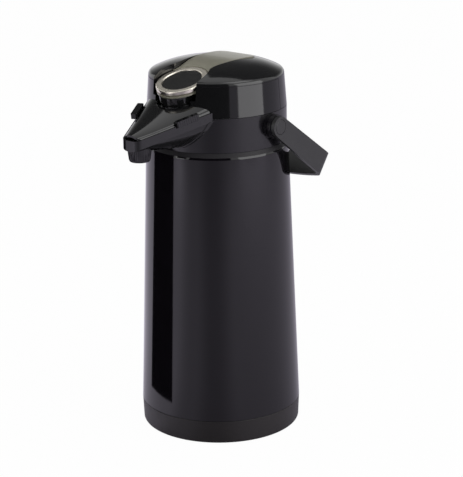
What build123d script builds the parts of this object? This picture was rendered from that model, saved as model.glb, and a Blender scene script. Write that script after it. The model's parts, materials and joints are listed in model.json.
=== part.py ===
from build123d import *
from math import cos, radians, sin, sqrt, tan
import os

os.makedirs("parts", exist_ok=True)

# Lever airpot, in millimetres. The pot stands on z = 0 with its axis on the Z axis, the spout points
# to -Y and the carrying handle swings about a line along X.

fit_gap = 0.3
running_fit = 0.05

# Base band and rubber foot
foot_radius = 72.0
foot_height = 3.0
band_bottom = 0.8
band_bottom_radius = 78.35
band_top = 23.8
band_top_radius = 79.3
band_wall = 2.8
spigot_height = 7.2
spigot_wall = 2.2

# Outer casing: a slightly tapered tube that ends in a small rounded ridge and a short slanted shoulder
casing_bottom = 24.2
casing_ridge = 285.0
casing_ridge_radius = 69.6
ridge_rounding = 5.0
casing_top = 290.8
casing_top_radius = 67.9
casing_wall = 2.2
casing_lip_radius = 65.4

# Collar above the casing
collar_bottom = 291.1
collar_top = 324.0
collar_radius = 67.9
collar_wall = 2.6
deck_bottom = 300.0
deck_thickness = 2.6
neck_hole_radius = 27.0
notch_half_width = 24.0
notch_bottom = 308.0

# Vacuum flask
flask_wall = 1.5
flask_radius = 61.0
flask_bottom = 34.0
flask_top = 298.3
flask_neck_radius = 30.0
inner_flask_radius = 57.5
inner_flask_bottom = 38.0
inner_neck_radius = 27.5

# Lid
lid_bottom = 324.4
lid_edge = 354.2
lid_bottom_radius = 67.9
lid_edge_radius = 65.7
lid_wall = 2.4
dome_top = 370.4
dome_corner = 357.6
dome_corner_radius = 65.4
dome_rounding = 5.0
crown_radius = 220.0
crown_reach = 38.0
gate_half_width = 26.8
gate_sill = 340.5
column_gate = 22.2
groove_width = 0.5
groove_depth = 0.7
front_panel_angle = 14.5

# Lid hinge at the rear
hinge_y = 73.0
hinge_z = 325.0
knuckle_radius = 4.4
hinge_pin_radius = 2.0

# Lever and badge
badge_slope = 18.0
badge_centre = (0, -50.0, 356.2)
badge_radius = 25.5
badge_window_radius = 19.3
badge_thickness = 4.5
lever_pivot_y = 27.5
lever_pivot_z = 357.0
lever_wall = 2.4
lever_skirt = 7.0
lever_tail = 35.5
lever_tail_half = 22.6
lever_tail_corner = 9.0
lever_gap = 0.8

# Column below the badge
column_foot = (0, -54.5, 334.0)
column_lean = 11.0
column_radius = 17.6
column_wall = 1.8
guide_outer = 20.8
guide_top = 4.1
guide_lip = 0.9

# Spout: half-width, rim height and depth of the hull all change steadily along its length
spout_station = -113.0
rim_half_width = 14.58
rim_half_width_rate = 0.4565
rim_height = 314.0
rim_height_rate = 0.2772
hull_rear = -60.0
hull_rear_depth = 28.0
hull_depth_rate = 24.0 / 59.0
side_band = 8.5
band_overhang = 0.6
arch_rise = 4.5
arch_rise_rate = 0.011
arch_rise_bend = 0.0015
spout_wall = 1.5
cover_thickness = 1.8
cover_gap = 0.25
nose_front = -124.0
nose_radius = 8.0
nozzle_low = 289.1
nozzle_y = -110.5
nozzle_bore = 5.5

# Carrying handle
handle_z = 312.0
handle_rest = 36.2
handle_inner = 75.9
handle_outer = 79.9
handle_reach = 99.0
handle_bow = 203.0
handle_pin_radius = 2.8
handle_cap_radius = 7.0

badge_plane = Plane(origin=badge_centre, x_dir=(1, 0, 0),
                    z_dir=(0, -sin(radians(badge_slope)), cos(radians(badge_slope))))
column_plane = Plane(origin=column_foot, x_dir=(1, 0, 0),
                     z_dir=(0, -sin(radians(column_lean)), cos(radians(column_lean))))
handle_plane = Plane(origin=(0, 0, handle_z), x_dir=(1, 0, 0),
                     z_dir=(0, sin(radians(handle_rest)), cos(radians(handle_rest))))


def turned(*points, rounded=()):
    """Closed radius and height outline in the X-Z plane; rounded lists (corner, radius) pairs."""
    with BuildSketch(Plane.XZ) as outline:
        with BuildLine():
            Polyline(*points, close=True)
        make_face()
        for corner, radius in rounded:
            fillet(outline.vertices().sort_by_distance(corner)[0], radius)
    return outline.sketch


def bottle(radius, bottom, neck_radius, top):
    """Half outline of a glass bottle with a rounded bottom and sloping shoulders."""
    wall = flask_wall
    inner = radius - wall
    inner_neck = neck_radius - wall
    shoulder = 255.0
    neck = shoulder + 0.8 * (radius - neck_radius)
    return turned(
        (0, bottom), (radius, bottom), (radius, shoulder), (neck_radius, neck), (neck_radius, top),
        (inner_neck, top), (inner_neck, neck - wall), (inner, shoulder - wall), (inner, bottom + wall),
        (0, bottom + wall),
        rounded=(((radius, bottom), 22), ((inner, bottom + wall), 20.5),
                 ((radius, shoulder), 18), ((inner, shoulder - wall), 16.5),
                 ((neck_radius, neck), 6), ((inner_neck, neck - wall), 7.5)))


def dome_face(drop):
    """Half section of the lid: near-upright wall, rounded edge and a shallow dome, all set in by drop."""
    rise = sqrt((crown_radius - drop) ** 2 - crown_reach ** 2)
    crown_end = (crown_reach, dome_top - crown_radius + rise)
    lean = crown_reach / (crown_radius - drop)
    crown_middle = (crown_reach / 2,
                    dome_top - crown_radius + sqrt((crown_radius - drop) ** 2 - crown_reach ** 2 / 4))
    corner = (dome_corner_radius - drop, dome_corner - 0.8 * drop)
    bottom_corner = (lid_bottom_radius - drop, lid_bottom)
    with BuildSketch(Plane.XZ) as face:
        with BuildLine():
            ThreePointArc((0, dome_top - drop), crown_middle, crown_end)
            TangentArc(crown_end, corner, tangent=(sqrt(1 - lean ** 2), -lean))
            Polyline(corner, bottom_corner, (0, lid_bottom), (0, dome_top - drop))
        make_face()
        fillet(face.vertices().sort_by_distance(corner)[0], dome_rounding - drop)
    return face.sketch


def rim_width(y):
    return rim_half_width + rim_half_width_rate * (y - spout_station)


def rim_level(y):
    return rim_height + rim_height_rate * (y - spout_station)


def arch_height(y):
    """Rise of the spout cover's arch above the rim, growing towards the lid."""
    along = y - nose_front
    return arch_rise + arch_rise_rate * along + arch_rise_bend * along ** 2


def hull_depth(y):
    return hull_rear_depth + hull_depth_rate * (y - hull_rear)


def hull_section(y, inset, raise_top):
    """Cross-section of the spout at one station: straight side band over a rounded hull."""
    half = rim_width(y) - inset
    keel_half = half - band_overhang
    band_low = rim_level(y) - side_band
    keel = band_low - hull_depth(y) + inset
    with BuildSketch(Plane.XZ.offset(-y)) as section:
        with BuildLine():
            Polyline((-keel_half, band_low), (-half, band_low), (-half, rim_level(y) + raise_top),
                     (half, rim_level(y) + raise_top), (half, band_low), (keel_half, band_low))
            ThreePointArc((keel_half, band_low), (0, keel), (-keel_half, band_low))
        make_face()
    return section.sketch


def arch_section(y, drop):
    """Cross-section under the spout cover: a half-elliptic arch on the rim, lowered by drop."""
    half = rim_width(y) - spout_wall - cover_gap
    base = rim_level(y) - drop
    with BuildSketch(Plane.XZ.offset(-y)) as section:
        with BuildLine():
            EllipticalCenterArc((0, base), half, arch_height(y), arc_size=180)
            Polyline((-half, base), (-half, collar_bottom - 20), (half, collar_bottom - 20), (half, base))
        make_face()
    return section.sketch


def nose_plan(inset):
    """Plan of the spout, its sides running to a blunt rounded nose."""
    rear = -45.0
    front = nose_front + inset
    with BuildSketch() as plan:
        with BuildLine():
            Polyline((-rim_width(rear) + inset, rear), (rim_width(rear) - inset, rear),
                     (rim_width(front) - inset, front), (inset - rim_width(front), front), close=True)
        make_face()
        fillet(plan.vertices().group_by(Axis.Y)[0], nose_radius - inset)
    return plan.sketch


def lever_plan(grow):
    """Plan of the lever from under the badge to its rounded tail, grown on all sides."""
    sides = ((25.0, -48.0), (22.3, -38.0), (20.7, -30.0), (20.9, -20.0), (21.7, -6.0), (22.4, 10.0),
             (lever_tail_half, 24.0))
    right = [(x + grow, y) for x, y in sides]
    left = [(-x, y) for x, y in right]
    tail = lever_tail + grow
    tail_half = lever_tail_half + grow
    with BuildSketch() as plan:
        with BuildLine():
            Spline(*right)
            Polyline(right[-1], (tail_half, tail), (-tail_half, tail), left[-1])
            Spline(*left)
            Line(left[0], right[0])
        make_face()
        fillet(plan.vertices().group_by(Axis.Y)[-1], lever_tail_corner + grow)
    return plan.sketch


def gate_plan(half):
    """Plan of the lid's front opening: round behind the badge, straight towards the spout."""
    with BuildSketch() as plan:
        with Locations((0, badge_centre[1])):
            Circle(half)
        with Locations((0, badge_centre[1] - 15)):
            Rectangle(2 * half, 30)
    return plan.sketch


def lever_side(drop, depth):
    """Side view of the lever: straight slope behind the badge, then a gentle hump down to the tail."""
    slope = radians(badge_slope)
    hump = (4.0, 369.5 - drop)
    knee = (-22.0, badge_centre[2] + 28.0 * tan(slope) - drop)
    front = (-62.0, badge_centre[2] - 12.0 * tan(slope) - drop)
    tail = (lever_tail + 4.0, 367.6 - drop)
    with BuildSketch(Plane.YZ) as side:
        with BuildLine():
            Line(front, knee)
            TangentArc(knee, hump, tangent=(cos(slope), sin(slope)))
            TangentArc(hump, tail, tangent=(1, 0))
            Polyline(tail, (tail[0], tail[1] - depth), (knee[0] + 4, knee[1] - depth),
                     (front[0], front[1] - depth), front)
        make_face()
    return side.sketch


def coil(radius, wire, bottom, height, turns):
    """Spring wire wound about the pot's axis."""
    with BuildPart() as spring:
        with BuildLine():
            path = Helix(pitch=height / turns, height=height, radius=radius, center=(0, 0, bottom))
        with BuildSketch(Plane(origin=path @ 0, z_dir=path % 0)):
            Circle(wire)
        sweep()
    return spring.part


# Underside and casing

with BuildPart() as foot_pad:
    revolve(turned((0, 0), (foot_radius - 1, 0), (foot_radius, 1), (foot_radius, foot_height),
                   (0, foot_height)), axis=Axis.Z)

spigot_radius = band_top_radius - band_wall
spigot_inner = spigot_radius - spigot_wall
floor_low = foot_height + 0.2
floor_high = floor_low + 3.0
with BuildPart() as base_cap:
    revolve(turned((0, floor_low), (foot_radius + fit_gap, floor_low), (foot_radius + fit_gap, band_bottom),
                   (band_bottom_radius, band_bottom), (band_top_radius, band_top), (spigot_radius, band_top),
                   (spigot_radius, band_top + spigot_height), (spigot_inner, band_top + spigot_height),
                   (spigot_inner, floor_high), (0, floor_high),
                   rounded=(((band_bottom_radius, band_bottom), 2.6), ((band_top_radius, band_top), 0.5))),
            axis=Axis.Z)

casing_inner_ridge = casing_ridge_radius - casing_wall
with BuildPart() as outer_casing:
    revolve(turned((band_top_radius - casing_wall, casing_bottom), (band_top_radius, casing_bottom),
                   (casing_ridge_radius, casing_ridge), (casing_top_radius, casing_top),
                   (casing_lip_radius, casing_top), (casing_lip_radius, casing_top - casing_wall),
                   (casing_inner_ridge, casing_ridge - casing_wall),
                   rounded=(((casing_ridge_radius, casing_ridge), ridge_rounding),)), axis=Axis.Z)

# Flask with its supports

with BuildPart() as flask_cushion:
    revolve(turned((0, floor_high + fit_gap), (50, floor_high + fit_gap), (50, flask_bottom - fit_gap),
                   (30, flask_bottom - fit_gap), (30, 12), (0, 12)), axis=Axis.Z)

with BuildPart() as flask_outer:
    revolve(bottle(flask_radius, flask_bottom, flask_neck_radius, flask_top), axis=Axis.Z)

with BuildPart() as flask_inner:
    revolve(bottle(inner_flask_radius, inner_flask_bottom, inner_neck_radius, flask_top), axis=Axis.Z)

with BuildPart() as flask_centring_ring:
    revolve(turned((flask_radius + fit_gap, 238), (68.3, 238), (68.3, 248), (flask_radius + fit_gap, 248)),
            axis=Axis.Z)

# Collar with its inner deck

collar_inner = collar_radius - collar_wall
with BuildPart() as shoulder_collar:
    revolve(Rot(0, 0, 45) * turned((62.4, casing_ridge - 1), (casing_lip_radius - fit_gap, casing_ridge - 1),
                   (casing_lip_radius - fit_gap, collar_bottom), (collar_radius, collar_bottom),
                   (collar_radius, collar_top), (collar_inner, collar_top),
                   (collar_inner, deck_bottom + deck_thickness),
                   (neck_hole_radius, deck_bottom + deck_thickness), (neck_hole_radius, deck_bottom),
                   (62.4, deck_bottom)), axis=Axis.Z)
    with BuildSketch(Plane.XY.offset(notch_bottom)):
        with Locations((0, -collar_radius)):
            Rectangle(2 * notch_half_width, 40)
    extrude(amount=collar_top - notch_bottom + 1, mode=Mode.SUBTRACT)
    with BuildSketch(Plane.YZ):
        with Locations((0, handle_z)):
            Circle(handle_pin_radius + running_fit)
    extrude(amount=collar_radius + 2, both=True, mode=Mode.SUBTRACT)

with BuildPart() as neck_gasket:
    revolve(turned((24.5, flask_top + 0.2), (32, flask_top + 0.2), (32, deck_bottom - 0.2),
                   (24.5, deck_bottom - 0.2)), axis=Axis.Z)

tube_radius = 4.5
with BuildPart() as tube_head:
    revolve(turned((tube_radius + 0.1, deck_bottom), (26.6, deck_bottom), (26.6, deck_bottom + 3),
                   (tube_radius + 0.1, deck_bottom + 3)), axis=Axis.Z)
    with BuildSketch(Plane.XY.offset(deck_bottom)):
        with PolarLocations(14, 6):
            Circle(2.5)
    extrude(amount=3, mode=Mode.SUBTRACT)

with BuildPart() as dip_tube:
    revolve(turned((3.5, 46), (tube_radius, 46), (tube_radius, 302.5), (3.5, 302.5)), axis=Axis.Z)

# Handle bearings on the collar

boss_inner = 66.0
boss_outer = handle_inner - 0.35
boss_radius = 11.8


def across(*points):
    """Half outline measured along X and outwards from the handle's pivot line."""
    with BuildSketch(Plane.XZ.offset(0)) as outline:
        with BuildLine():
            Polyline(*[(x, handle_z + r) for x, r in points], close=True)
        make_face()
    return outline.sketch


pivot_line = Axis((0, 0, handle_z), (1, 0, 0))
with BuildPart() as handle_bosses:
    bore = handle_pin_radius + running_fit
    for side in (1, -1):
        revolve(across((side * boss_inner, bore), (side * boss_inner, boss_radius),
                       (side * 70.6, boss_radius), (side * 70.6, boss_radius - 1.2),
                       (side * 71.4, boss_radius - 1.2), (side * 71.4, boss_radius - 0.6),
                       (side * boss_outer, boss_radius - 0.6), (side * boss_outer, bore)),
                axis=pivot_line)
    with BuildSketch(Plane.XY.offset(collar_bottom)):
        Circle(collar_radius + 0.15)
    extrude(amount=collar_top - collar_bottom, mode=Mode.SUBTRACT)

with BuildPart() as handle_pins:
    for side in (1, -1):
        revolve(across((side * 62.6, 0), (side * 62.6, 5), (side * 64.7, 5), (side * 64.7, handle_pin_radius),
                       (side * 78.1, handle_pin_radius), (side * 78.1, 0)), axis=pivot_line)

with BuildPart() as handle_caps:
    for side in (1, -1):
        revolve(across((side * 78.3, 0), (side * 78.3, handle_cap_radius),
                       (side * 79.8, handle_cap_radius), (side * 80.1, handle_cap_radius - 0.4),
                       (side * 80.1, 0)), axis=pivot_line)

# Lid hinge: bracket and pin on the collar

with BuildPart() as hinge_bracket:
    for side in (1, -1):
        with BuildSketch(Plane.YZ.offset(side * 12.0)):
            with Locations((hinge_y, hinge_z)):
                Circle(knuckle_radius)
            with Locations((hinge_y - 3, hinge_z - 8)):
                Rectangle(6 + 2.4, 14)
        extrude(amount=side * 10.0)
    with BuildSketch(Plane.XY.offset(310)):
        with Locations((0, hinge_y - 2.4)):
            Rectangle(44, 9)
    extrude(amount=8)
    with BuildSketch(Plane.XY.offset(305)):
        Circle(collar_radius + 0.15)
    extrude(amount=30, mode=Mode.SUBTRACT)
    with BuildSketch(Plane.YZ):
        with Locations((hinge_y, hinge_z)):
            Circle(hinge_pin_radius + running_fit)
    extrude(amount=30, both=True, mode=Mode.SUBTRACT)

with BuildPart() as hinge_pin:
    with BuildSketch(Plane.YZ):
        with Locations((hinge_y, hinge_z)):
            Circle(hinge_pin_radius)
    extrude(amount=22, both=True)

with BuildPart() as latch_keepers:
    for side in (1, -1):
        with BuildSketch(Plane.XY.offset(316.2)):
            with BuildLine():
                Polyline((side * 24.3, -55), (side * 28.5, -55), (side * 28.5, -64), (side * 24.3, -64),
                         close=True)
            make_face()
        extrude(amount=3)
    with BuildSketch(Plane.XY.offset(316)):
        Circle(collar_inner + 5)
        Circle(collar_inner - 0.1, mode=Mode.SUBTRACT)
    extrude(amount=4, mode=Mode.SUBTRACT)

# Lid shell

# Outlines of the fine grooves round the lid's front panel: one under the dome and one down each side
edge_groove = turned((lid_edge_radius - groove_depth, lid_edge - groove_width),
                     (lid_edge_radius + 1, lid_edge - groove_width), (lid_edge_radius + 1, lid_edge),
                     (lid_edge_radius - groove_depth, lid_edge))
wall_groove = turned((lid_bottom_radius - groove_depth, lid_bottom), (lid_bottom_radius + 1, lid_bottom),
                     (lid_edge_radius + 1, lid_edge), (lid_edge_radius - groove_depth, lid_edge))
post_foot = 326.4
screw_places = ((45, -20), (-45, -20), (45, 25), (-45, 25))
well_step = -31.0
with BuildPart() as lid_shell:
    revolve(dome_face(0), axis=Axis.Z)
    revolve(dome_face(lid_wall), axis=Axis.Z, mode=Mode.SUBTRACT)
    with BuildPart(mode=Mode.PRIVATE) as screw_posts:
        with BuildSketch(Plane.XY.offset(post_foot)):
            with Locations(*screw_places):
                Circle(4.5)
                Circle(1.7, mode=Mode.SUBTRACT)
        extrude(amount=dome_top - post_foot)
        revolve(dome_face(lid_wall / 2), axis=Axis.Z, mode=Mode.INTERSECT)
    add(screw_posts.part)
    with BuildSketch(Plane.XY.offset(lid_edge - 10)):
        add(lever_plan(lever_gap))
    extrude(amount=30, mode=Mode.SUBTRACT)
    with BuildSketch(Plane.XY.offset(gate_sill)):
        add(gate_plan(gate_half_width))
    extrude(amount=50, mode=Mode.SUBTRACT)
    with BuildSketch(Plane.XY.offset(lid_bottom)):
        add(gate_plan(column_gate))
    extrude(amount=20, mode=Mode.SUBTRACT)
    revolve(Rot(0, 0, 180 - front_panel_angle) * edge_groove, axis=Axis.Z,
            revolution_arc=180 + 2 * front_panel_angle, mode=Mode.SUBTRACT)
    for angle in (front_panel_angle, 180 - front_panel_angle):
        extrude(Rot(0, 0, angle) * wall_groove, amount=groove_width / 2, both=True, mode=Mode.SUBTRACT)

with BuildPart() as lid_hinge_lug:
    with BuildSketch(Plane.YZ):
        with Locations((hinge_y, hinge_z)):
            Circle(knuckle_radius)
        with Locations((hinge_y - 2.2, hinge_z + 5)):
            Rectangle(4.4, 10)
    extrude(amount=11.6, both=True)
    with BuildSketch(Plane.YZ):
        with Locations((hinge_y - 3.4, hinge_z + 9.4)):
            Rectangle(4, 7)
    extrude(amount=17, both=True)
    with BuildSketch(Plane.XY.offset(310)):
        Circle(lid_bottom_radius + 0.15)
    extrude(amount=40, mode=Mode.SUBTRACT)
    with BuildSketch(Plane.YZ):
        with Locations((hinge_y, hinge_z)):
            Circle(hinge_pin_radius + running_fit)
    extrude(amount=20, both=True, mode=Mode.SUBTRACT)

well_floor = 343.0
well_wall = 1.6
with BuildPart() as lever_well:
    with BuildSketch(Plane.XY.offset(well_floor)):
        add(lever_plan(lever_gap + well_wall))
    extrude(amount=22)
    with BuildSketch(Plane.XY.offset(well_floor - 7.8)):
        add(gate_plan(gate_half_width + well_wall))
        with Locations((0, 0)):
            Rectangle(100, -2 * well_step, mode=Mode.SUBTRACT)
    extrude(amount=30.4)
    with BuildSketch(Plane.XY.offset(well_floor + 2)):
        add(lever_plan(lever_gap))
    extrude(amount=30, mode=Mode.SUBTRACT)
    with BuildSketch(Plane.XY.offset(well_floor - 10)):
        add(gate_plan(gate_half_width))
        with Locations((0, 0)):
            Rectangle(100, 2 * well_wall - 2 * well_step, mode=Mode.SUBTRACT)
    extrude(amount=40, mode=Mode.SUBTRACT)
    with BuildSketch(Plane.XY.offset(well_floor + 2)):
        add(gate_plan(gate_half_width))
    extrude(amount=40, mode=Mode.SUBTRACT)
    with BuildSketch(Plane.XY.offset(well_floor)):
        Circle(5.6)
    extrude(amount=4, mode=Mode.SUBTRACT)
    for side in (1, -1):
        with BuildSketch(Plane.YZ.offset(side * 15.0)):
            with Locations((lever_pivot_y, lever_pivot_z)):
                Circle(3.1)
            with Locations((lever_pivot_y, (lever_pivot_z + well_floor + 1) / 2)):
                Rectangle(6.2, lever_pivot_z - well_floor - 1)
        extrude(amount=side * 3)
    with BuildSketch(Plane.YZ):
        with Locations((lever_pivot_y, lever_pivot_z)):
            Circle(hinge_pin_radius + running_fit)
    extrude(amount=22.6, both=True, mode=Mode.SUBTRACT)
    revolve(dome_face(lid_wall + fit_gap), axis=Axis.Z, mode=Mode.INTERSECT)

with BuildPart() as lever_hinge_pin:
    with BuildSketch(Plane.YZ):
        with Locations((lever_pivot_y, lever_pivot_z)):
            Circle(hinge_pin_radius)
    extrude(amount=18.6, both=True)

# Pump parts inside the lid

cup_centre = (0, -52.0)
pump_base_low = 322.4
pump_base_high = 326.0
with BuildPart() as pump_base:
    with BuildSketch(Plane.XY.offset(pump_base_low)):
        Circle(65.0)
        with Locations(cup_centre):
            Circle(23.2, mode=Mode.SUBTRACT)
        with Locations((0, -65)):
            Rectangle(50, 20, mode=Mode.SUBTRACT)
        with Locations(*screw_places):
            Circle(2.2, mode=Mode.SUBTRACT)
    extrude(amount=pump_base_high - pump_base_low)

with BuildPart() as lid_screws:
    for place in screw_places:
        with BuildSketch(Plane.XY.offset(320.6)):
            with Locations(place):
                Circle(3.4)
        extrude(amount=1.6)
        with BuildSketch(Plane.XY.offset(322.2)):
            with Locations(place):
                Circle(1.6)
        extrude(amount=12)

pipe_radius = 4.0
pipe_level = 313.5
plug_bottom = 304.6
with BuildPart() as inner_plug:
    revolve(turned((pipe_radius + fit_gap, plug_bottom), (24, plug_bottom), (24, 322.1), (21.5, 322.1),
                   (21.5, plug_bottom + 2.4), (pipe_radius + fit_gap, plug_bottom + 2.4)), axis=Axis.Z)
    with BuildSketch(Plane.XZ):
        with Locations((0, pipe_level)):
            Circle(pipe_radius + fit_gap)
    extrude(amount=30, mode=Mode.SUBTRACT)

with BuildPart() as plug_gasket:
    revolve(turned((21.5, 303.2), (25.5, 303.2), (25.5, 304.4), (21.5, 304.4)), axis=Axis.Z)

with BuildPart() as intake_valve:
    revolve(turned((0, pump_base_high + 0.2), (9, pump_base_high + 0.2), (9, 327.4), (0, 328.2)),
            axis=Axis.Z)

bellows_low = pump_base_high + 0.2
bellows_high = 340.0
with BuildPart() as bellows:
    fold = (bellows_high - bellows_low) / 4
    revolve(turned((27, bellows_low), (28, bellows_low), (24, bellows_low + fold),
                   (28, bellows_low + 2 * fold), (24, bellows_low + 3 * fold), (28, bellows_high),
                   (26.5, bellows_high), (22.5, bellows_low + 3 * fold), (26.5, bellows_low + 2 * fold),
                   (22.5, bellows_low + fold), (26.5, bellows_low)), axis=Axis.Z)

bellows_spring = coil(15, 0.9, bellows_low + 1.2, bellows_high - bellows_low - 2.6, 3)
lever_spring = coil(8, 0.7, well_floor + 3.0, 18.6, 6)

with BuildPart() as outlet_pipe:
    with BuildLine():
        pipe_path = FilletPolyline((0, 0, plug_bottom + 0.4), (0, 0, pipe_level), (0, -82, pipe_level),
                                   (0, nozzle_y, 306.5), (0, nozzle_y, 291), radius=6)
    with BuildSketch(Plane(origin=pipe_path @ 0, z_dir=pipe_path % 0)):
        Circle(pipe_radius)
        Circle(pipe_radius - 1, mode=Mode.SUBTRACT)
    sweep()

with BuildPart() as pressure_plate:
    revolve(turned((0, bellows_high + 0.2), (28.5, bellows_high + 0.2), (28.5, bellows_high + 2.6),
                   (5, bellows_high + 2.6), (5, 364.8), (3.6, 366.2), (0, 366.2)), axis=Axis.Z)

# Spout

ear_slope = sqrt(1 + rim_half_width_rate ** 2)
ear_out = (1 / ear_slope, -rim_half_width_rate / ear_slope)
ear_y = -77.5
ear_height = 5.4
ear_length = 23.0


def ear_plane(side, out, above):
    """Plane on the rim line at one squeeze latch: local x points outwards, local y runs along the rim."""
    out_dir = Vector(side * ear_out[0], ear_out[1], 0)
    along = Vector(side * rim_half_width_rate, 1, rim_height_rate)
    up = out_dir.cross(along) * side
    origin = Vector(side * rim_width(ear_y), ear_y, rim_level(ear_y)) + out_dir * out
    return Plane(origin=origin, x_dir=out_dir, z_dir=up).offset(above)


spout_front = -130.0
with BuildPart() as spout_solid:
    loft([hull_section(-48.0, 0, 0), hull_section(spout_front, 0, 0)], ruled=True)
    with BuildSketch(Plane.XY.offset(280)):
        add(nose_plan(0))
    extrude(amount=60, mode=Mode.INTERSECT)

with BuildPart() as spout_hollow:
    loft([hull_section(-47.0, spout_wall, 12), hull_section(spout_front, spout_wall, 12)], ruled=True)
    with BuildSketch(Plane.XY.offset(280)):
        add(nose_plan(spout_wall))
    extrude(amount=80, mode=Mode.INTERSECT)

with BuildPart() as spout_flange:
    loft([hull_section(-48.0, -0.9, 0.5 - side_band), hull_section(-90.0, -0.9, 0.5 - side_band)], ruled=True)
    with BuildSketch(Plane.XY.offset(280)):
        Circle(collar_radius + 2.6)
    extrude(amount=60, mode=Mode.INTERSECT)

with BuildPart() as spout_housing:
    add(spout_solid.part)
    add(spout_flange.part)
    add(spout_hollow.part, mode=Mode.SUBTRACT)
    with BuildSketch(Plane.XY.offset(280)):
        Circle(collar_radius + fit_gap)
    extrude(amount=70, mode=Mode.SUBTRACT)
    with BuildSketch(Plane.XY.offset(285)):
        with Locations((0, nozzle_y)):
            Circle(9.0)
    extrude(amount=20, mode=Mode.SUBTRACT)
    for side in (1, -1):
        with BuildSketch(ear_plane(side, -2, -1.6)):
            Rectangle(12, ear_length + 0.8)
        extrude(amount=12, mode=Mode.SUBTRACT)

arch_stations = (-40.0, -56.0, -72.0, -88.0, -104.0, spout_front)
with BuildPart() as spout_cover:
    loft([arch_section(y, 0) for y in arch_stations])
    with BuildPart(mode=Mode.PRIVATE) as cover_hollow:
        loft([arch_section(y, cover_thickness) for y in arch_stations])
    add(cover_hollow.part, mode=Mode.SUBTRACT)
    with BuildSketch(Plane.XY.offset(collar_bottom - 20)):
        add(nose_plan(spout_wall + cover_gap))
    extrude(amount=90, mode=Mode.INTERSECT)
    revolve(turned((0, 250), (collar_radius + fit_gap, 250), (collar_radius + fit_gap, lid_bottom),
                   (lid_edge_radius + fit_gap, lid_edge), (0, lid_edge)), axis=Axis.Z, mode=Mode.SUBTRACT)
    with BuildSketch(column_plane.offset(-20)):
        Circle(guide_outer + fit_gap)
    extrude(amount=40, mode=Mode.SUBTRACT)
    with BuildSketch(column_plane.offset(guide_top - guide_lip - fit_gap)):
        Circle(guide_outer + guide_lip + fit_gap)
    extrude(amount=20, mode=Mode.SUBTRACT)
    for side in (1, -1):
        with BuildSketch(ear_plane(side, 0.5, -3)):
            Rectangle(9.4, ear_length + 0.8)
        extrude(amount=ear_height + 3.4, mode=Mode.SUBTRACT)

cup_low = 318.3
cup_floor = 319.9
with BuildPart() as column_guide:
    with BuildSketch(column_plane.offset(-24)):
        Circle(guide_outer)
    extrude(amount=24 + guide_top)
    with BuildSketch(column_plane.offset(guide_top - guide_lip)):
        Circle(guide_outer + guide_lip)
    extrude(amount=guide_lip)
    with BuildSketch(Plane.XY.offset(cup_low)):
        Rectangle(100, 200)
    extrude(amount=-40, mode=Mode.SUBTRACT)
    with BuildPart(mode=Mode.PRIVATE) as cup_hollow:
        with BuildSketch(column_plane.offset(-24)):
            Circle(guide_outer - 1.5)
        extrude(amount=40)
        with BuildSketch(Plane.XY.offset(cup_floor)):
            Rectangle(100, 200)
        extrude(amount=-40, mode=Mode.SUBTRACT)
    add(cup_hollow.part, mode=Mode.SUBTRACT)

with BuildPart() as spout_nozzle:
    revolve(turned((nozzle_bore, nozzle_low + 1), (nozzle_bore + 0.6, nozzle_low), (9.6, nozzle_low),
                   (10.95, 297.8), (10.95, 303), (nozzle_bore, 303),
                   rounded=(((9.6, nozzle_low), 1.2),)), axis=Axis.Z)
    with Locations((0, -nozzle_y, 0)):
        add(spout_solid.part, mode=Mode.SUBTRACT)
    revolve(turned((nozzle_bore, 294), (8.7, 294), (8.7, 301.5), (nozzle_bore, 301.5)), axis=Axis.Z)
spout_nozzle.part = Pos(0, nozzle_y, 0) * spout_nozzle.part

# Lever with badge

plate_drop = 4.6
disc_thickness = 1.8
with BuildPart() as lever_plate:
    with BuildSketch(Plane.XY.offset(330)):
        add(lever_plan(0))
    extrude(amount=60)
    extrude(lever_side(0, lever_skirt + lever_wall), amount=40, both=True, mode=Mode.INTERSECT)
    with BuildPart(mode=Mode.PRIVATE) as lever_hollow:
        with BuildSketch(Plane.XY.offset(330)):
            add(lever_plan(-lever_wall))
        extrude(amount=60)
        extrude(lever_side(lever_wall, 20), amount=40, both=True, mode=Mode.INTERSECT)
    add(lever_hollow.part, mode=Mode.SUBTRACT)
    with BuildSketch(badge_plane.offset(-30)):
        Circle(badge_radius + 0.3)
    extrude(amount=60, mode=Mode.SUBTRACT)
    with BuildSketch(badge_plane.offset(-plate_drop)):
        Circle(badge_radius + 0.3)
    extrude(amount=-disc_thickness)
    for side in (1, -1):
        with BuildSketch(Plane.YZ.offset(side * 10.4)):
            with Locations((lever_pivot_y, lever_pivot_z)):
                Circle(4.2)
            with Locations((lever_pivot_y, lever_pivot_z + 5.5)):
                Rectangle(8.4, 11)
        extrude(amount=side * 4)
    with BuildSketch(Plane.YZ):
        with Locations((lever_pivot_y, lever_pivot_z)):
            Circle(hinge_pin_radius + running_fit)
    extrude(amount=40, both=True, mode=Mode.SUBTRACT)

with BuildPart() as badge_ring:
    with BuildSketch(badge_plane.offset(-badge_thickness)):
        Circle(badge_radius)
        Circle(badge_window_radius, mode=Mode.SUBTRACT)
    extrude(amount=badge_thickness)
    fillet(badge_ring.edges().filter_by(GeomType.CIRCLE), 1.1)

with BuildPart() as badge_disc:
    with BuildSketch(badge_plane.offset(-badge_thickness + 1)):
        Circle(badge_window_radius - 0.2)
    extrude(amount=badge_thickness - 1.8)

with BuildPart() as column_skirt:
    with BuildSketch(column_plane.offset(-3)):
        Circle(column_radius)
        Circle(column_radius - column_wall, mode=Mode.SUBTRACT)
    extrude(amount=30)
    with BuildSketch(badge_plane.offset(-plate_drop - disc_thickness - 0.1)):
        Circle(60)
    extrude(amount=40, mode=Mode.SUBTRACT)


# Squeeze latches at the sides of the spout

arm_level = 323.4


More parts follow.
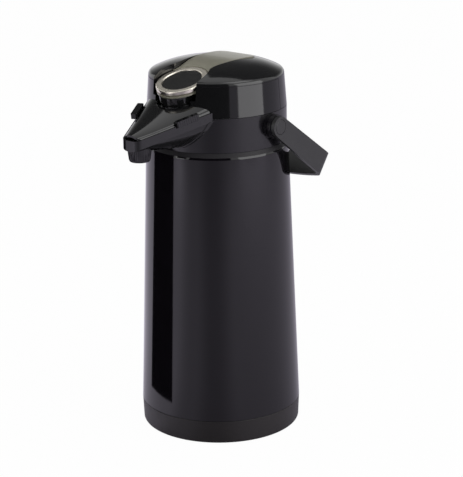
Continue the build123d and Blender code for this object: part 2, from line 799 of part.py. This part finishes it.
def latch(side):
    """A ribbed finger pad outside the spout with an arm reaching back to the collar's front notch."""
    with BuildPart() as piece:
        with BuildSketch(ear_plane(side, 1.2, 0)):
            Rectangle(6.2, ear_length)
        extrude(amount=ear_height)
        fillet(piece.edges().filter_by(lambda edge: abs(edge.length - ear_height) < 0.01), 1.2)
        for step in range(-4, 5):
            with BuildSketch(ear_plane(side, 4.3, 0)):
                with Locations((0, step * 2.2)):
                    Rectangle(0.7, 0.9)
            extrude(amount=ear_height, mode=Mode.SUBTRACT)
        with BuildSketch(Plane.XY.offset(arm_level)):
            with BuildLine():
                Polyline((side * 22.6, -77.5), (side * 30.6, -77.5), (side * 31.9, -74.5),
                         (side * 22.6, -74.5), close=True)
            make_face()
        extrude(amount=1.4)
        with BuildSketch(Plane.XY.offset(312)):
            with BuildLine():
                Polyline((side * 22.6, -77.5), (side * 25.2, -77.5), (side * 25.2, -74.5),
                         (side * 22.6, -74.5), close=True)
            make_face()
        extrude(amount=arm_level + 1 - 312)
        with BuildSketch(Plane.XY.offset(312)):
            with BuildLine():
                Polyline((side * 22.6, -80), (side * 25.2, -80), (side * 25.2, -74), (side * 23.8, -66),
                         (side * 23.8, -57), (side * 20.8, -57), (side * 20.8, -66), close=True)
            make_face()
        extrude(amount=3.6)
    return piece.part


latch_right = latch(1)
latch_left = latch(-1)

# Carrying handle, modelled in its resting position


def handle_bend(reach, half, corner):
    """Closed plan of a bowed U reaching from behind the pivots to the bowed grip."""
    bow = handle_bow + reach - handle_reach
    end = reach - (bow - sqrt(bow ** 2 - half ** 2))
    with BuildSketch(handle_plane.offset(-14)) as plan:
        with BuildLine():
            Polyline((-half, end), (-half, -14), (half, -14), (half, end))
            ThreePointArc((half, end), (0, reach), (-half, end))
        make_face()
        fillet(plan.vertices().group_by(Axis.Y)[-1], corner)
    return plan.sketch


strap_start = 10.0
strap_end = 12.0
strap_length = 110.0
side_plane = Plane(origin=(0, 0, handle_z), x_dir=(0, cos(radians(handle_rest)), -sin(radians(handle_rest))),
                   z_dir=(1, 0, 0))
with BuildPart() as carry_handle:
    extrude(handle_bend(handle_reach + handle_outer - handle_inner, handle_outer, 10), amount=28,
            dir=handle_plane.z_dir)
    extrude(handle_bend(handle_reach, handle_inner, 6), amount=28, dir=handle_plane.z_dir,
            mode=Mode.SUBTRACT)
    with BuildSketch(side_plane):
        Circle(strap_start)
        with BuildLine():
            Polyline((0, strap_start), (strap_length, strap_end), (strap_length, -strap_end),
                     (0, -strap_start), close=True)
        make_face()
    extrude(amount=90, both=True, mode=Mode.INTERSECT)
    with BuildSketch(Plane.YZ):
        with Locations((0, handle_z)):
            Circle(handle_pin_radius + running_fit)
    extrude(amount=90, both=True, mode=Mode.SUBTRACT)
    for side in (1, -1):
        with BuildSketch(Plane.YZ.offset(side * 78.2)):
            with Locations((0, handle_z)):
                Circle(handle_cap_radius + 0.3)
        extrude(amount=side * 5, mode=Mode.SUBTRACT)

pieces = {
    "foot_pad": foot_pad.part,
    "base_cap": base_cap.part,
    "outer_casing": outer_casing.part,
    "flask_cushion": flask_cushion.part,
    "flask_outer": flask_outer.part,
    "flask_inner": flask_inner.part,
    "flask_centring_ring": flask_centring_ring.part,
    "shoulder_collar": shoulder_collar.part,
    "neck_gasket": neck_gasket.part,
    "tube_head": tube_head.part,
    "dip_tube": dip_tube.part,
    "handle_bosses": handle_bosses.part,
    "handle_pins": handle_pins.part,
    "handle_caps": handle_caps.part,
    "hinge_bracket": hinge_bracket.part,
    "hinge_pin": hinge_pin.part,
    "latch_keepers": latch_keepers.part,
    "lid_shell": lid_shell.part,
    "lid_hinge_lug": lid_hinge_lug.part,
    "lever_well": lever_well.part,
    "lever_hinge_pin": lever_hinge_pin.part,
    "pump_base": pump_base.part,
    "lid_screws": lid_screws.part,
    "inner_plug": inner_plug.part,
    "plug_gasket": plug_gasket.part,
    "intake_valve": intake_valve.part,
    "bellows": bellows.part,
    "bellows_spring": bellows_spring,
    "lever_spring": lever_spring,
    "outlet_pipe": outlet_pipe.part,
    "pressure_plate": pressure_plate.part,
    "spout_housing": spout_housing.part,
    "spout_cover": spout_cover.part,
    "column_guide": column_guide.part,
    "spout_nozzle": spout_nozzle.part,
    "lever_plate": lever_plate.part,
    "badge_ring": badge_ring.part,
    "badge_disc": badge_disc.part,
    "column_skirt": column_skirt.part,
    "latch_right": latch_right,
    "latch_left": latch_left,
    "carry_handle": carry_handle.part,
}

for name, piece in pieces.items():
    piece.label = name
    export_step(piece, f"parts/{name}.step")
    print(name, len(piece.solids()), round(piece.volume), piece.is_valid)
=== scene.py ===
import json
import math

import bmesh
import bpy
from mathutils import Matrix, Vector


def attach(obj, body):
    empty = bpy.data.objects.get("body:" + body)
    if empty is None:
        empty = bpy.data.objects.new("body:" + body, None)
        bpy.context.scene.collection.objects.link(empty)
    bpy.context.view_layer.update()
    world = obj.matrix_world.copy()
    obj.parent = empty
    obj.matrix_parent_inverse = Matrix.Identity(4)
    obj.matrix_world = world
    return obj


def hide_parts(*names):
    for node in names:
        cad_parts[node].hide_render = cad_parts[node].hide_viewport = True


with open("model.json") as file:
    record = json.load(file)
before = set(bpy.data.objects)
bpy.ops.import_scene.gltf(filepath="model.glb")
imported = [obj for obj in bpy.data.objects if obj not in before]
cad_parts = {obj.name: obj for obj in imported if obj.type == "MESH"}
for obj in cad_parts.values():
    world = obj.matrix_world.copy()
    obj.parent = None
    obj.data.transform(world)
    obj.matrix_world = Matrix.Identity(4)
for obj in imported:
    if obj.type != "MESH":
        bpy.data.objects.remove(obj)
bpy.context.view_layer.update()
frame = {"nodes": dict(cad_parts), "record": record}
MM = 0.001

# Camera, found from the outlines in the photograph

CAMERA_AZIMUTH = math.radians(40.5)
CAMERA_PITCH = math.radians(17.0)
CAMERA_ROLL = math.radians(-0.7569)
CAMERA_DISTANCE = 1.8
CAMERA_AIM = (-0.0128, 0.0143)
AIM_HEIGHT = 0.202
LENS = 137.33
SENSOR_WIDTH = 36
NEAREST, FARTHEST = 0.05, 60


def camera_axes():
    """Right, up and forward directions of the camera."""
    sin_a, cos_a = math.sin(CAMERA_AZIMUTH), math.cos(CAMERA_AZIMUTH)
    forward = Vector((-sin_a * math.cos(CAMERA_PITCH), cos_a * math.cos(CAMERA_PITCH),
                      -math.sin(CAMERA_PITCH)))
    level = Vector((cos_a, sin_a, 0))
    rise = level.cross(forward)
    right = math.cos(CAMERA_ROLL) * level + math.sin(CAMERA_ROLL) * rise
    up = math.cos(CAMERA_ROLL) * rise - math.sin(CAMERA_ROLL) * level
    return right, up, forward


def add_camera():
    """The camera at the photograph's viewing angle."""
    right, up, forward = camera_axes()
    place = Vector((0, 0, AIM_HEIGHT)) - (CAMERA_AIM[0] * right + CAMERA_AIM[1] * up
                                          + CAMERA_DISTANCE * forward)
    data = bpy.data.cameras.new("camera")
    data.lens = LENS
    data.sensor_width = SENSOR_WIDTH
    data.clip_start = NEAREST
    data.clip_end = FARTHEST
    camera = bpy.data.objects.new("camera", data)
    camera.matrix_world = Matrix((
        (right.x, up.x, -forward.x, place.x),
        (right.y, up.y, -forward.y, place.y),
        (right.z, up.z, -forward.z, place.z),
        (0, 0, 0, 1)))
    bpy.context.collection.objects.link(camera)
    bpy.context.scene.camera = camera


add_camera()
bpy.context.scene.view_settings.view_transform = "Standard"


# Node writing: sockets that take part in sums, and one method for every other node

class Wire:
    """An output socket that takes part in sums."""

    def __init__(self, tree, socket):
        self.tree = tree
        self.socket = socket

    def __add__(self, other):
        return self.tree.math("ADD", self, other)

    def __mul__(self, other):
        return self.tree.math("MULTIPLY", self, other)

    def __rsub__(self, other):
        return self.tree.math("SUBTRACT", other, self)

    def __truediv__(self, other):
        return self.tree.math("DIVIDE", self, other)

    def __pow__(self, power):
        return self.tree.math("POWER", self, power)

    __radd__ = __add__
    __rmul__ = __mul__


class Tree:
    """Writes the nodes of one material or world."""

    def __init__(self, owner):
        owner.use_nodes = True
        self.tree = owner.node_tree
        self.tree.nodes.clear()

    def node(self, kind, settings=None, output=0, **sockets):
        """One node. A socket is given by its name, or as i and its number where names repeat."""
        made = self.tree.nodes.new(kind)
        for name, value in (settings or {}).items():
            setattr(made, name, value)
        for name, value in sockets.items():
            key = int(name[1:]) if name[1:].isdigit() else name.replace("_", " ")
            if isinstance(value, Wire):
                self.tree.links.new(value.socket, made.inputs[key])
            else:
                made.inputs[key].default_value = value
        return Wire(self, made.outputs[output]) if made.outputs else made

    def math(self, operation, first, second=0.0):
        return self.node("ShaderNodeMath", {"operation": operation}, i0=first, i1=second)

    def between(self, value, low, high):
        """A smooth rise from 0 to 1 as the value goes from low to high."""
        return self.node("ShaderNodeMapRange", {"interpolation_type": "SMOOTHSTEP"},
                         Value=value, From_Min=low, From_Max=high)

    def blend(self, share, first, second):
        """Colour mixed from first to second."""
        return self.node("ShaderNodeMix", {"data_type": "RGBA"}, output=2, i0=share, i6=first, i7=second)

    def reach(self, place, way):
        """How far a place lies along a unit vector."""
        return self.node("ShaderNodeVectorMath", {"operation": "DOT_PRODUCT"}, output="Value",
                         i0=place, i1=way)

    def place(self):
        """The place on the object, in metres in the model's frame."""
        return self.node("ShaderNodeTexCoord", output="Object")

    def height(self):
        return self.node("ShaderNodeSeparateXYZ", output="Z", Vector=self.place())

    def ray(self, kind):
        """1 for rays of that kind."""
        return self.node("ShaderNodeLightPath", output=kind)

    def close(self, shader):
        """Ends the material in that shader."""
        self.node("ShaderNodeOutputMaterial", Surface=shader)


def grey(level, tint=(1, 1, 1)):
    return (level * tint[0], level * tint[1], level * tint[2], 1)


# Finishes; a scale is the number of a pattern's cells in a metre

WANDER_SCALE = 60.0
GRAIN_DETAIL = 3.0
BUMP_STRENGTH = 0.5
COAT_ROUGHNESS = 0.05
FLAKE_SCALE, FLAKE_LIGHTNESS = 2500.0, 2.2
SATIN_COLOUR, SATIN_ROUGHNESS, SATIN_SPECULAR, SATIN_WANDER = (0.016, 0.015, 0.017), 0.5, 0.2, 0.1
SATIN_EDGE = 0.4 * MM


def surface(name, colour, rough, grain, grain_size, patch, metallic=0.0, coat=0.0, flakes=0.0, streak=None,
            satin_above=None):
    """One moulded, painted or metal finish.

    grain is the depth of its texture in mm and grain_size the size of a grain in mm; patch says how much
    its colour and roughness wander; flakes is the share of bright specks in a metallic paint; streak
    stretches the grain; satin_above is the height from which a gloss finish gives way to a satin one.
    """
    material = bpy.data.materials.new(name)
    tree = Tree(material)
    place = tree.place()
    grain_place = place
    if streak:
        grain_place = tree.node("ShaderNodeVectorMath", {"operation": "MULTIPLY"}, i0=place, i1=streak)
    wander = tree.node("ShaderNodeTexNoise", Vector=place, Scale=WANDER_SCALE)
    fine = tree.node("ShaderNodeTexNoise", Vector=grain_place, Scale=1 / (grain_size * MM),
                     Detail=GRAIN_DETAIL)
    base = tree.blend(wander, grey(1 - patch, colour), grey(1 + patch, colour))
    if flakes:
        speck = tree.node("ShaderNodeTexVoronoi", output="Color", Vector=place, Scale=FLAKE_SCALE)
        lightness = tree.node("ShaderNodeSeparateColor", Color=speck)
        base = tree.blend(tree.between(lightness, 1 - flakes, 1.0), base, grey(FLAKE_LIGHTNESS, colour))
    sockets = {"Coat_Weight": coat, "Coat_Roughness": COAT_ROUGHNESS} if coat else {}
    bump = tree.node("ShaderNodeBump", Strength=BUMP_STRENGTH, Distance=grain * MM, Height=fine)
    shader = tree.node("ShaderNodeBsdfPrincipled", Base_Color=base, Metallic=metallic, Normal=bump,
                       Roughness=rough * (1 - patch) + fine * (2 * rough * patch), **sockets)
    if satin_above:
        satin_base = tree.blend(wander, grey(1 - SATIN_WANDER, SATIN_COLOUR),
                                grey(1 + SATIN_WANDER, SATIN_COLOUR))
        satin = tree.node("ShaderNodeBsdfPrincipled", Base_Color=satin_base, Roughness=SATIN_ROUGHNESS,
                          Specular_IOR_Level=SATIN_SPECULAR)
        above = tree.between(tree.height(), satin_above - SATIN_EDGE, satin_above)
        shader = tree.node("ShaderNodeMixShader", i0=above, i1=shader, i2=satin)
    tree.close(shader)
    return material


FINISH_SETTINGS = {
    "black_enamelled_steel": dict(colour=(0.003, 0.0024, 0.0036), rough=0.07, grain=0.004, grain_size=1.5,
                                  patch=0.25, satin_above=286.8 * MM),
    "black_gloss_plastic": dict(colour=(0.006, 0.006, 0.0065), rough=0.09, grain=0.003, grain_size=2.0,
                                patch=0.2),
    "black_satin_plastic": dict(colour=(0.005, 0.0045, 0.006), rough=0.18, grain=0.02, grain_size=0.35,
                                patch=0.15),
    "black_grained_plastic": dict(colour=(0.006, 0.0045, 0.004), rough=0.42, grain=0.05, grain_size=0.5,
                                  patch=0.2),
    "handle_plastic": dict(colour=(0.016, 0.016, 0.0165), rough=0.38, grain=0.03, grain_size=0.4, patch=0.15),
    "lever_grey_plastic": dict(colour=(0.245, 0.235, 0.185), rough=0.30, grain=0.006, grain_size=0.5,
                               patch=0.08, metallic=0.35, flakes=0.12, coat=0.3),
    "badge_metal": dict(colour=(0.85, 0.80, 0.70), rough=0.30, grain=0.003, grain_size=0.6, patch=0.05,
                        metallic=1.0),
    "badge_black": dict(colour=(0.010, 0.010, 0.010), rough=0.22, grain=0.004, grain_size=0.8, patch=0.15),
    "pin_steel": dict(colour=(0.55, 0.55, 0.56), rough=0.28, grain=0.004, grain_size=0.3, patch=0.1,
                      metallic=1.0, streak=(1.0, 1.0, 0.1)),
    "black_rubber": dict(colour=(0.022, 0.022, 0.022), rough=0.75, grain=0.05, grain_size=0.4, patch=0.2),
    "grey_rubber": dict(colour=(0.11, 0.11, 0.115), rough=0.7, grain=0.04, grain_size=0.5, patch=0.15),
    "grey_foam": dict(colour=(0.2, 0.2, 0.2), rough=0.95, grain=0.25, grain_size=0.8, patch=0.2),
    "clear_silicone": dict(colour=(0.62, 0.62, 0.6), rough=0.35, grain=0.01, grain_size=0.7, patch=0.05),
    "white_plastic": dict(colour=(0.7, 0.7, 0.68), rough=0.3, grain=0.008, grain_size=0.6, patch=0.04),
    "clear_pipe": dict(colour=(0.6, 0.61, 0.6), rough=0.2, grain=0.004, grain_size=0.9, patch=0.05),
    "flask_glass": dict(colour=(0.78, 0.79, 0.80), rough=0.05, grain=0.002, grain_size=3.0, patch=0.04,
                        metallic=1.0),
}
FINISHES = {name: surface(name, **settings) for name, settings in FINISH_SETTINGS.items()}


slot_of = {row["node"]: row["material_slot"] for row in frame["record"]["subparts"]}
body_of = {node: body for body, nodes in frame["record"]["behaviour"]["bodies"].items() for node in nodes}


def paint(obj, slot):
    obj.data.materials.clear()
    obj.data.materials.append(FINISHES[slot])


for node, obj in frame["nodes"].items():
    paint(obj, slot_of[node])


# Exact smooth normals for turned surfaces

# How near a corner lies to its profile, in mm, and the least cosine between its new normal and its face
NEAR_PROFILE = 0.12
LEAST_AGREEMENT = 0.93
COINCIDENT, ON_AXIS = 1e-12, 1e-6


def straight(start, end):
    """Two samples (radius, height, normal outwards, normal upwards) of a straight stretch, in mm."""
    run, rise = end[0] - start[0], end[1] - start[1]
    length = math.hypot(run, rise)
    normal = (rise / length, -run / length)
    return [(*start, *normal), (*end, *normal)]


def arc(centre, radius, start, end, steps=24):
    """Samples along an arc whose normals point away from its centre; angles in degrees above level."""
    rows = []
    for step in range(steps + 1):
        angle = math.radians(start + (end - start) * step / steps)
        outwards, upwards = math.cos(angle), math.sin(angle)
        rows.append((centre[0] + radius * outwards, centre[1] + radius * upwards, outwards, upwards))
    return rows


def nearest_normal(profile, radius, height):
    """Distance to a profile, in mm, and the normal at its nearest point."""
    best = (math.inf, None)
    for a, b in zip(profile, profile[1:]):
        run, rise = b[0] - a[0], b[1] - a[1]
        length_squared = run * run + rise * rise
        if length_squared < COINCIDENT:
            continue
        t = max(0, min(1, ((radius - a[0]) * run + (height - a[1]) * rise) / length_squared))
        gap = math.hypot(radius - a[0] - t * run, height - a[1] - t * rise)
        if gap < best[0]:
            normal = ((1 - t) * a[2] + t * b[2], (1 - t) * a[3] + t * b[3])
            size = math.hypot(*normal)
            best = (gap, (normal[0] / size, normal[1] / size))
    return best


def polished(node, profiles, axis=Matrix.Identity(4)):
    """A copy of a turned node whose skin shades as a true surface of revolution; it stands for the node.

    profiles are lists of samples in mm round axis, a matrix from that axis's frame to the model's. A corner
    of the mesh takes the profile's normal where it lies near the profile and its face roughly agrees.
    """
    back = axis.inverted()
    mesh = frame["nodes"][node].data.copy()
    mesh.name = node + "_polished"
    obj = bpy.data.objects.new(node + "_polished", mesh)
    bpy.context.collection.objects.link(obj)
    turn = axis.to_3x3()
    normals = []
    for polygon in mesh.polygons:
        polygon.use_smooth = True
        flat = polygon.normal
        for loop in polygon.loop_indices:
            point = back @ mesh.vertices[mesh.loops[loop].vertex_index].co
            radius = math.hypot(point.x, point.y)
            chosen, closest = flat, NEAR_PROFILE
            for profile in profiles:
                gap, (outwards, upwards) = nearest_normal(profile, radius / MM, point.z / MM)
                if gap < closest and radius > ON_AXIS:
                    normal = turn @ Vector((outwards * point.x / radius, outwards * point.y / radius,
                                            upwards))
                    if normal.dot(flat) > LEAST_AGREEMENT:
                        chosen, closest = normal, gap
            normals.append(chosen)
    mesh.normals_split_custom_set(normals)
    paint(obj, slot_of[node])
    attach(obj, body_of[node])
    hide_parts(node)


def tilted(origin, degrees):
    """Frame at origin, in mm, whose upright axis leans forward by that many degrees."""
    return Matrix.Translation(Vector(origin) * MM) @ Matrix.Rotation(math.radians(degrees), 4, "X")


def direction(start, end):
    size = math.dist(start, end)
    return (end[0] - start[0]) / size, (end[1] - start[1]) / size


def rounded_corner(before, corner, after, radius):
    """Samples of a fillet between two straight stretches that meet at an outer corner."""
    into, out = direction(before, corner), direction(corner, after)
    turn = math.acos(into[0] * out[0] + into[1] * out[1])
    reach = radius * math.tan(turn / 2)
    first = (corner[0] - into[0] * reach, corner[1] - into[1] * reach)
    normal = (into[1], -into[0])
    centre = (first[0] - radius * normal[0], first[1] - radius * normal[1])
    start = math.degrees(math.atan2(normal[1], normal[0]))
    return arc(centre, radius, start, start + math.degrees(turn))


CASING_FOOT, CASING_RIDGE, CASING_TOP = (79.3, 24.2), (69.6, 285.0), (67.9, 290.8)
RIDGE_ROUND = 5.0
ridge = rounded_corner(CASING_FOOT, CASING_RIDGE, CASING_TOP, RIDGE_ROUND)
polished("outer_casing", [straight(CASING_FOOT, ridge[0][:2]) + ridge + straight(ridge[-1][:2], CASING_TOP)])

COLLAR_FOOT, COLLAR_TOP = (67.9, 291.1), (67.9, 324.0)
polished("shoulder_collar", [straight(COLLAR_FOOT, COLLAR_TOP)])

BAND_FOOT, BAND_TOP = (78.35, 0.8), (79.3, 23.8)
BAND_ROUND = 2.6
band_round_centre = (BAND_FOOT[0] - BAND_ROUND, BAND_FOOT[1] + BAND_ROUND)
band_slope = math.degrees(math.atan2(BAND_TOP[0] - BAND_FOOT[0], BAND_TOP[1] - BAND_FOOT[1]))
polished("base_cap", [straight(BAND_FOOT, BAND_TOP), arc(band_round_centre, BAND_ROUND, -90, -band_slope)])

LID_FOOT, LID_CORNER, LID_CORNER_ROUND = (67.9, 324.4), (65.4, 357.6), 5.0
CROWN_ROUND, CROWN_REACH, DOME_TOP = 220.0, 38.0, 370.4
HALVINGS = 60


def lid_profile():
    """The lid's outline: its wall, its round corner, the haunch of its dome and the flatter crown."""
    crown_lean = math.asin(CROWN_REACH / CROWN_ROUND)
    crown_centre = (0, DOME_TOP - CROWN_ROUND)
    crown_end = (CROWN_REACH, crown_centre[1] + CROWN_ROUND * math.cos(crown_lean))
    chord = (LID_CORNER[0] - crown_end[0], LID_CORNER[1] - crown_end[1])
    inwards = (-math.sin(crown_lean), -math.cos(crown_lean))
    haunch = (chord[0] ** 2 + chord[1] ** 2) / (2 * (chord[0] * inwards[0] + chord[1] * inwards[1]))
    haunch_centre = (crown_end[0] + haunch * inwards[0], crown_end[1] + haunch * inwards[1])
    up_wall = direction(LID_FOOT, LID_CORNER)
    wall_normal = (up_wall[1], -up_wall[0])
    low, high = 0.0, math.dist(LID_FOOT, LID_CORNER)
    for _ in range(HALVINGS):
        rise = (low + high) / 2
        wall_end = (LID_FOOT[0] + rise * up_wall[0], LID_FOOT[1] + rise * up_wall[1])
        centre = (wall_end[0] - LID_CORNER_ROUND * wall_normal[0],
                  wall_end[1] - LID_CORNER_ROUND * wall_normal[1])
        if math.dist(centre, haunch_centre) < haunch - LID_CORNER_ROUND:
            low = rise
        else:
            high = rise
    round_start = math.degrees(math.atan2(wall_normal[1], wall_normal[0]))
    round_end = math.degrees(math.atan2(centre[1] - haunch_centre[1], centre[0] - haunch_centre[0]))
    crown_start = 90 - math.degrees(crown_lean)
    return (straight(LID_FOOT, wall_end)
            + arc(centre, LID_CORNER_ROUND, round_start, round_end)
            + arc(haunch_centre, haunch, round_end, crown_start)
            + arc(crown_centre, CROWN_ROUND, crown_start, 90))


polished("lid_shell", [lid_profile()])

COLUMN_FOOT, COLUMN_LEAN = (0, -54.5, 334.0), 11.0
COLUMN_RADIUS, COLUMN_LOW, COLUMN_HIGH = 17.6, -10, 30
polished("column_skirt", [straight((COLUMN_RADIUS, COLUMN_LOW), (COLUMN_RADIUS, COLUMN_HIGH))],
         tilted(COLUMN_FOOT, COLUMN_LEAN))

BADGE_CENTRE, BADGE_LEAN = (0, -50.0, 356.2), 18.0
RING_OUTSIDE, RING_INSIDE, RING_HEIGHT, RING_ROUND = 25.5, 19.3, 4.5, 1.1
RING_CORNERS = (((RING_OUTSIDE - RING_ROUND, -RING_HEIGHT + RING_ROUND), -90),
                ((RING_OUTSIDE - RING_ROUND, -RING_ROUND), 0),
                ((RING_INSIDE + RING_ROUND, -RING_ROUND), 90),
                ((RING_INSIDE + RING_ROUND, -RING_HEIGHT + RING_ROUND), 180))
polished("badge_ring", [[row for centre, start in RING_CORNERS
                         for row in arc(centre, RING_ROUND, start, start + 90)]],
         tilted(BADGE_CENTRE, BADGE_LEAN))


# Softened edges on the moulded parts

EDGE_SEGMENTS, EDGE_ANGLE = 2, 30
EDGE_WIDTHS = {"spout_housing": 0.35, "spout_cover": 0.35, "carry_handle": 0.6, "handle_bosses": 0.5,
               "handle_caps": 0.3, "latch_left": 0.25, "latch_right": 0.25, "hinge_bracket": 0.4,
               "lid_hinge_lug": 0.4, "column_guide": 0.25}


def soften(node, width):
    """Small round edges on a CAD node, width in mm, made by a modifier only."""
    bevel = frame["nodes"][node].modifiers.new("soft_edges", "BEVEL")
    bevel.width = width * MM
    bevel.segments = EDGE_SEGMENTS
    bevel.limit_method = "ANGLE"
    bevel.angle_limit = math.radians(EDGE_ANGLE)
    bevel.harden_normals = True


for node, width in EDGE_WIDTHS.items():
    soften(node, width)


# Fine upright ribs round the nozzle

NOZZLE_CENTRE = (0.0, -110.5)
NOZZLE_ROWS = ((9.95, 290.6), (10.2, 291.0), (11.1, 297.8), (11.15, 302.0))
RIB_COUNT, RIB_DEPTH, SLEEVE_WALL = 44, 0.28, 0.6
STEPS_PER_RIB = 4


def add_nozzle_ribs():
    """A closed sleeve of upright ribs over the nozzle, turned from rows of (radius, height) in mm."""
    shape = bmesh.new()
    steps = STEPS_PER_RIB * RIB_COUNT

    def ring(radius, height, outside):
        corners = []
        for step in range(steps):
            angle = 2 * math.pi * step / steps
            dip = RIB_DEPTH * (1 - math.cos(RIB_COUNT * angle)) / 2 if outside else SLEEVE_WALL
            corners.append(shape.verts.new(((NOZZLE_CENTRE[0] + (radius - dip) * math.cos(angle)) * MM,
                                            (NOZZLE_CENTRE[1] + (radius - dip) * math.sin(angle)) * MM,
                                            height * MM)))
        return corners

    rings = [ring(*row, True) for row in NOZZLE_ROWS] + [ring(*row, False) for row in reversed(NOZZLE_ROWS)]
    for low, high in zip(rings, rings[1:] + rings[:1]):
        for step in range(steps):
            after = (step + 1) % steps
            shape.faces.new((low[step], low[after], high[after], high[step]))
    mesh = bpy.data.meshes.new("nozzle_ribs")
    shape.normal_update()
    shape.to_mesh(mesh)
    shape.free()
    ribs = bpy.data.objects.new("nozzle_ribs", mesh)
    bpy.context.collection.objects.link(ribs)
    paint(ribs, "black_satin_plastic")
    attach(ribs, "pump_head")


add_nozzle_ribs()


# Studio: a pale floor, dark flags and soft lamps

def around(bearing, distance):
    """Point on the floor at an angle from the line to the camera, positive to the picture's right."""
    angle = math.radians(bearing)
    towards = Vector((math.sin(CAMERA_AZIMUTH), -math.cos(CAMERA_AZIMUTH), 0))
    right = Vector((math.cos(CAMERA_AZIMUTH), math.sin(CAMERA_AZIMUTH), 0))
    return (towards * math.cos(angle) + right * math.sin(angle)) * distance


def add_sheet(name, corners, material, faces):
    """A flat or curved sheet that stands in the studio and isn't part of the object."""
    mesh = bpy.data.meshes.new(name)
    mesh.from_pydata([tuple(corner) for corner in corners], [], faces)
    obj = bpy.data.objects.new(name, mesh)
    obj.data.materials.append(material)
    bpy.context.collection.objects.link(obj)
    return obj


FLAG_STEPS = 12
FADE_POWER = 3


def add_flag(name, bearings, distance, heights, level, fade=0.0):
    """A curved upright card that only reflections see, between two bearings from the pot.

    fade is the height over which it turns from white at its lower edge to its own level.
    """
    low = heights[0]
    material = bpy.data.materials.new(name)
    tree = Tree(material)
    colour = grey(level)
    if fade:
        paleness = (1 - tree.between(tree.height(), low, low + fade)) ** FADE_POWER
        colour = tree.blend(paleness, colour, grey(1.0))
    tree.close(tree.node("ShaderNodeEmission", Color=colour, Strength=1.0))
    start, end = bearings
    spots = [around(start + (end - start) * step / FLAG_STEPS, distance) for step in range(FLAG_STEPS + 1)]
    corners = [spot + Vector((0, 0, height)) for spot in spots for height in heights]
    faces = [(2 * step, 2 * step + 2, 2 * step + 3, 2 * step + 1) for step in range(FLAG_STEPS)]
    flag = add_sheet(name, corners, material, faces)
    flag.visible_camera = False
    flag.visible_diffuse = False
    flag.visible_shadow = False


LAMP_AIM = Vector((0, 0, 0.25))


def add_lamp(name, bearing, distance, height, size, level):
    """A soft rectangular lamp of the given brightness, facing the pot."""
    data = bpy.data.lights.new(name, "AREA")
    data.shape = "RECTANGLE"
    data.size, data.size_y = size
    data.energy = level * math.pi * size[0] * size[1]
    lamp = bpy.data.objects.new(name, data)
    lamp.location = around(bearing, distance) + Vector((0, 0, height))
    lamp.rotation_euler = (LAMP_AIM - lamp.location).to_track_quat("-Z", "Y").to_euler()
    bpy.context.collection.objects.link(lamp)


FLOOR_REACH = 9.0
FLOOR_TINT = (1.0, 0.94, 1.1)
FLOOR_LIT, FLOOR_MIRRORED, FLOOR_SHADE, FLOOR_BRIGHT = 0.6, 0.55, 0.32, 0.95
SHADE_LEAN, SHADE_EDGES, BRIGHT_EDGES = 0.12, (0.55, 0.05), (-0.7, -1.9)
FLOOR_GLOW_SHARE = 0.98
AHEAD_LEAST = 0.01


def add_floor():
    """White to the camera. Reflections see it duller, shaded in front of the pot and brighter on the left."""
    material = bpy.data.materials.new("pale_floor")
    tree = Tree(material)
    place = tree.place()
    ahead = tree.math("MAXIMUM", tree.reach(place, around(0, 1.0)), AHEAD_LEAST)
    slant = tree.reach(place, around(90, 1.0)) / ahead
    shade = tree.between(tree.math("ABSOLUTE", slant + SHADE_LEAN), *SHADE_EDGES)
    tone = tree.blend(shade, grey(FLOOR_MIRRORED, FLOOR_TINT), grey(FLOOR_SHADE, FLOOR_TINT))
    tone = tree.blend(tree.between(slant, *BRIGHT_EDGES), tone, grey(FLOOR_BRIGHT, FLOOR_TINT))
    colour = tree.blend(tree.ray("Is Glossy Ray"), grey(FLOOR_LIT), tone)
    dull = tree.node("ShaderNodeBsdfDiffuse", Color=colour)
    glow = tree.node("ShaderNodeEmission", Color=grey(1.0), Strength=1.0)
    tree.close(tree.node("ShaderNodeMixShader", i0=tree.ray("Is Camera Ray") * FLOOR_GLOW_SHARE,
                         i1=dull, i2=glow))
    corners = [(x * FLOOR_REACH, y * FLOOR_REACH, 0) for x, y in ((-1, -1), (1, -1), (1, 1), (-1, 1))]
    add_sheet("floor", corners, material, [(0, 1, 2, 3)])


WORLD_LIGHT, WORLD_SHOWN = 0.75, 1.0


def add_world():
    """A plain pale world, white where the camera, a reflection or a clear piece shows it."""
    world = bpy.data.worlds.new("studio")
    bpy.context.scene.world = world
    tree = Tree(world)
    through = tree.math("MAXIMUM", tree.ray("Is Glossy Ray"), tree.ray("Is Transmission Ray"))
    shown = tree.math("MAXIMUM", tree.ray("Is Camera Ray"), through)
    colour = tree.blend(shown, grey(WORLD_LIGHT), grey(WORLD_SHOWN))
    tree.node("ShaderNodeOutputWorld", Surface=tree.node("ShaderNodeBackground", Color=colour, Strength=1.0))


add_floor()
add_world()
add_flag("flag_left", bearings=(-101, -60), distance=0.18, heights=(0.0, 1.2), level=0.004)
add_flag("flag_front", bearings=(-45, 21), distance=2.3, heights=(0.0, 2.6), level=0.006)
add_flag("flag_back_right", bearings=(118, 186), distance=2.0, heights=(0.3, 3.5), level=0.075, fade=1.5)
add_flag("flag_back_left", bearings=(186, 214), distance=2.0, heights=(0.3, 2.28), level=0.06, fade=1.5)
add_lamp("lamp_right", bearing=58, distance=1.45, height=0.66, size=(1.34, 1.2), level=2.2)
add_lamp("lamp_left", bearing=-60, distance=1.45, height=0.60, size=(0.4, 1.1), level=1.6)
add_lamp("lamp_top", bearing=60, distance=0.7, height=1.7, size=(0.9, 0.7), level=1.8)
